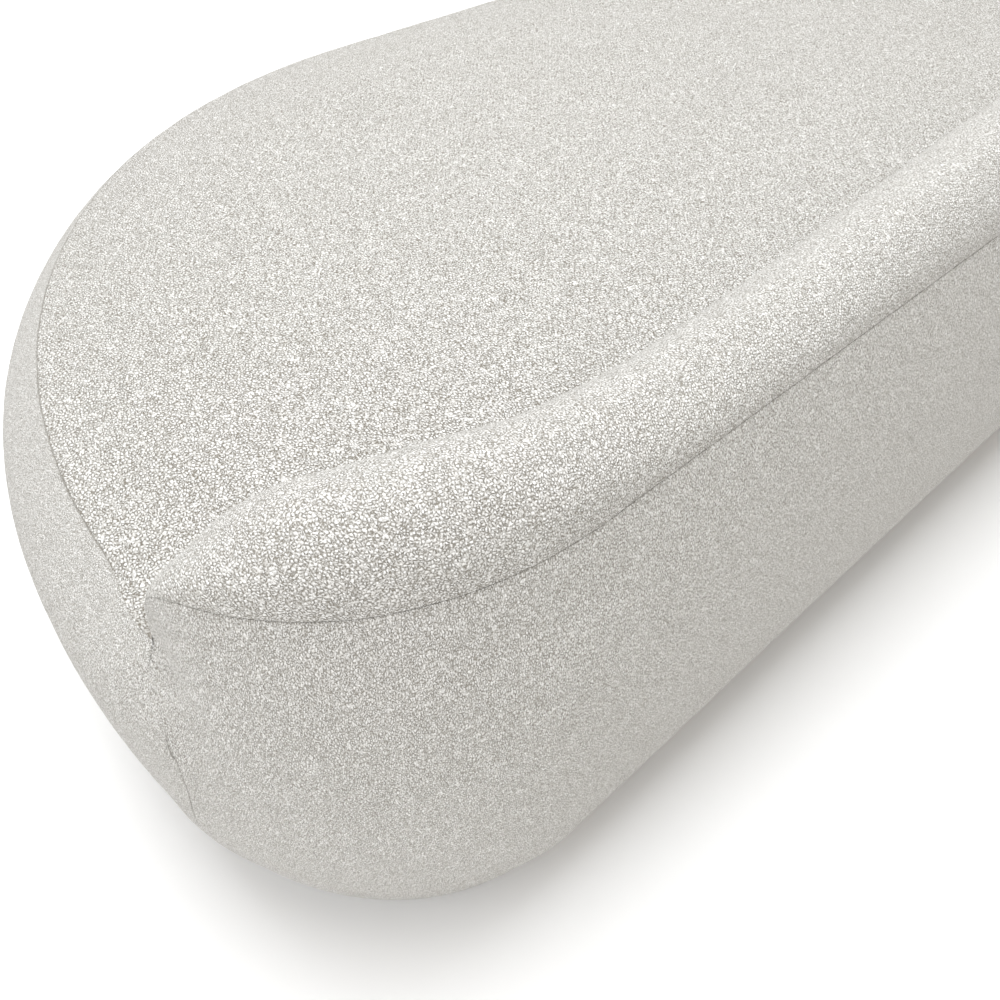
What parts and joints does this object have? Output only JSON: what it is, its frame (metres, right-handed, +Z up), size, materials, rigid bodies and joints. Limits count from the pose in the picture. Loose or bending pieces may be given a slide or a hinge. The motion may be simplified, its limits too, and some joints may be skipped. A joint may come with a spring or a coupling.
{
  "type": "sofa",
  "caption": "Low lounge sofa with a pebble-shaped plan, tight boucle upholstery, a low wrap-around back with rounded noses and short turned wooden legs.",
  "frame": {"origin": "on the floor under the middle of the body: the bottom centre of the bounding box", "axes": "+Z up, the front of the sofa faces -Y, the long side lies along X"},
  "size_m": [2.3, 1.1242, 0.587],
  "materials": {
    "leg_wood": "satin",
    "glide_plastic": "matte",
    "steel": "satin",
    "pine": "matte",
    "plywood": "matte",
    "bent_board": "matte",
    "webbing": "matte",
    "wadding": "matte",
    "foam": "matte",
    "dust_cloth": "matte",
    "boucle_top": "matte",
    "boucle_side": "matte"
  },
  "bodies": {
    "root": {"leg_front_left": "leg_wood", "leg_front_centre": "leg_wood", "leg_front_right": "leg_wood", "leg_rear_left": "leg_wood", "leg_rear_centre": "leg_wood", "leg_rear_right": "leg_wood", "leg_glides": "glide_plastic", "leg_hanger_bolts": "steel", "leg_plates": "steel", "leg_plate_screws": "steel", "leg_blocks": "pine", "base_rail_front": "plywood", "base_rail_rear": "plywood", "base_end_left": "plywood", "base_end_right": "plywood", "frame_rib_1": "plywood", "frame_rib_2": "plywood", "frame_rib_3": "plywood", "frame_rib_4": "plywood", "frame_rib_5": "plywood", "frame_rib_6": "plywood", "rear_apron": "plywood", "deck_rail_front": "plywood", "deck_rail_rear": "plywood", "deck_end_left": "plywood", "deck_end_right": "plywood", "back_rib_1": "plywood", "back_rib_2": "plywood", "back_rib_3": "plywood", "back_rib_4": "plywood", "back_rib_5": "plywood", "back_rib_6": "plywood", "back_rib_7": "plywood", "back_top_rail": "plywood", "back_top_end_left": "plywood", "back_top_end_right": "plywood", "band_board": "bent_board", "outer_back_board": "bent_board", "inner_back_board": "bent_board", "webbing_cross": "webbing", "webbing_long": "webbing", "deck_pad": "wadding", "seat_foam": "foam", "seat_wadding": "wadding", "band_foam_front": "foam", "band_foam_left": "foam", "band_foam_right": "foam", "outer_foam_middle": "foam", "outer_foam_left": "foam", "outer_foam_right": "foam", "back_foam_middle": "foam", "back_foam_left": "foam", "back_foam_right": "foam", "nose_foam_left": "foam", "nose_foam_right": "foam", "seat_cover": "boucle_top", "band_cover": "boucle_side", "back_cover": "boucle_top", "outer_back_cover": "boucle_side", "dust_cover": "dust_cloth"}
  },
  "joints": []
}
